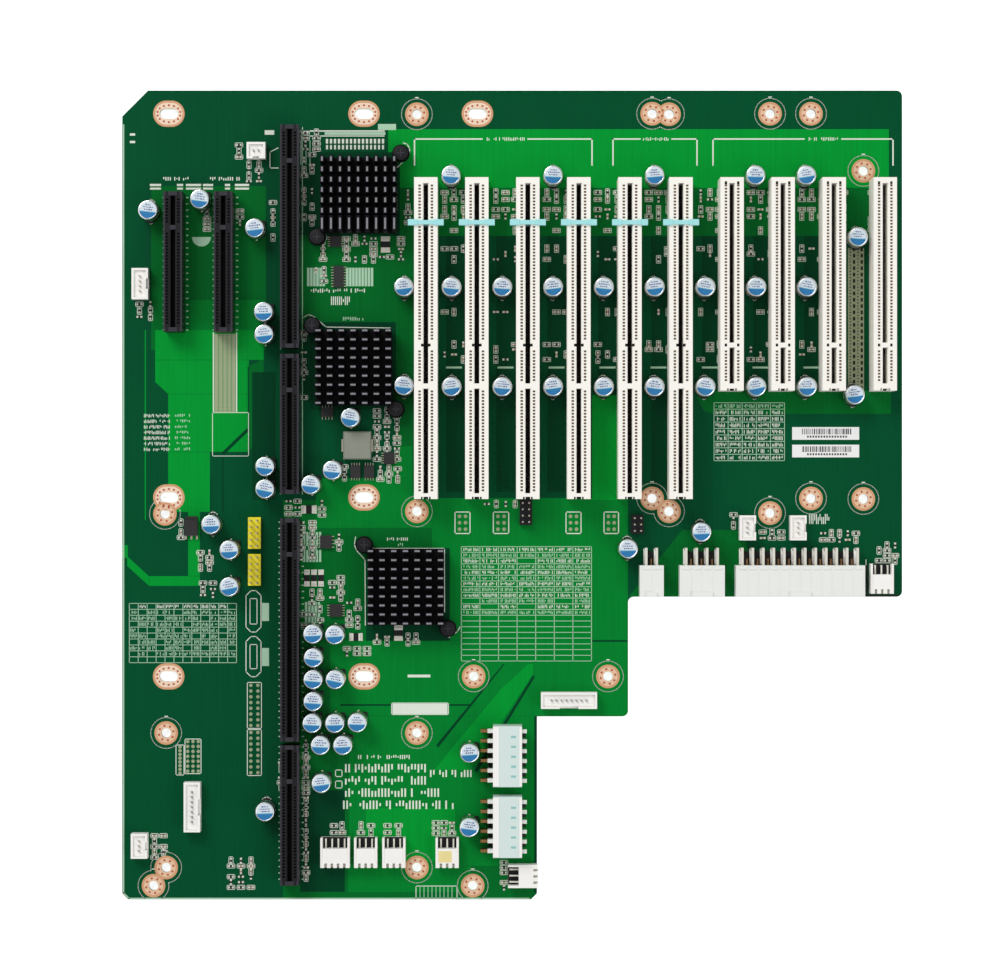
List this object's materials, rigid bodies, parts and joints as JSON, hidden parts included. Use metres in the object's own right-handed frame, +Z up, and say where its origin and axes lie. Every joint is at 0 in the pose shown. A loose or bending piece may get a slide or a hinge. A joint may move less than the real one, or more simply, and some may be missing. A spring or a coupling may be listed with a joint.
{
  "type": "passive backplane",
  "caption": "Flat stepped circuit board that carries host board connectors, rows of parallel card slots, finned heatsinks, capacitors and power headers.",
  "frame": {"origin": "centre of the board's outline, at the level of the surface that the connector posts stand on", "axes": "+Z up from the board to its components, +Y along the card slots towards their rear ends, +X towards the short slots"},
  "size_m": [0.3142, 0.3258, 0.02],
  "materials": {
    "laminate": "green solder mask over copper, satin gloss",
    "ivory_plastic": "moulded, satin",
    "black_plastic": "moulded, satin",
    "cyan_plastic": "moulded, satin",
    "black_anodised": "black anodised",
    "chip_resin": "moulded resin, matt",
    "can_aluminium": "drawn can, bright",
    "grey_plastic": "moulded, satin",
    "white_plastic": "moulded, satin",
    "yellow_plastic": "moulded, satin",
    "tinned_metal": "tin plated",
    "grey_ferrite": "pressed ferrite",
    "paper": "coated paper label"
  },
  "bodies": {
    "root": {"circuit_board": "laminate", "long_slot_1": "ivory_plastic", "long_slot_2": "ivory_plastic", "long_slot_3": "ivory_plastic", "long_slot_4": "ivory_plastic", "long_slot_5": "ivory_plastic", "long_slot_6": "ivory_plastic", "short_slot_1": "ivory_plastic", "short_slot_2": "ivory_plastic", "short_slot_3": "ivory_plastic", "short_slot_4": "ivory_plastic", "host_slot_1": "black_plastic", "host_slot_2": "black_plastic", "host_slot_3": "black_plastic", "host_slot_4": "black_plastic", "lane_slot_1": "black_plastic", "lane_slot_2": "black_plastic", "key_insert_1": "cyan_plastic", "key_insert_2": "cyan_plastic", "key_insert_3": "cyan_plastic", "key_insert_4": "cyan_plastic", "key_insert_5": "cyan_plastic", "key_insert_6": "cyan_plastic", "heatsink_1": "black_anodised", "bridge_chip_1": "chip_resin", "heatsink_2": "black_anodised", "bridge_chip_2": "chip_resin", "heatsink_3": "black_anodised", "bridge_chip_3": "chip_resin", "push_pins": "black_plastic", "capacitor_cans": "can_aluminium", "capacitor_bases": "black_plastic", "main_power_header": "grey_plastic", "board_power_header": "grey_plastic", "aux_power_header": "grey_plastic", "power_leads": "tinned_metal", "side_power_header_1": "grey_plastic", "side_power_header_2": "grey_plastic", "side_power_leads": "tinned_metal", "fan_a_header": "white_plastic", "fan_b_header": "white_plastic", "fan_c_header": "white_plastic", "fan_d_header": "white_plastic", "corner_header": "white_plastic", "edge_header": "white_plastic", "upright_header_1": "white_plastic", "upright_header_2": "white_plastic", "upright_header_3": "white_plastic", "upright_header_4": "white_plastic", "upright_header_5": "white_plastic", "upright_header_6": "white_plastic", "upright_header_7": "white_plastic", "signal_pins": "tinned_metal", "yellow_header_bases": "yellow_plastic", "black_header_bases": "black_plastic", "power_coil": "grey_ferrite", "small_chips": "chip_resin", "regulator": "chip_resin", "stickers": "paper"}
  },
  "joints": []
}
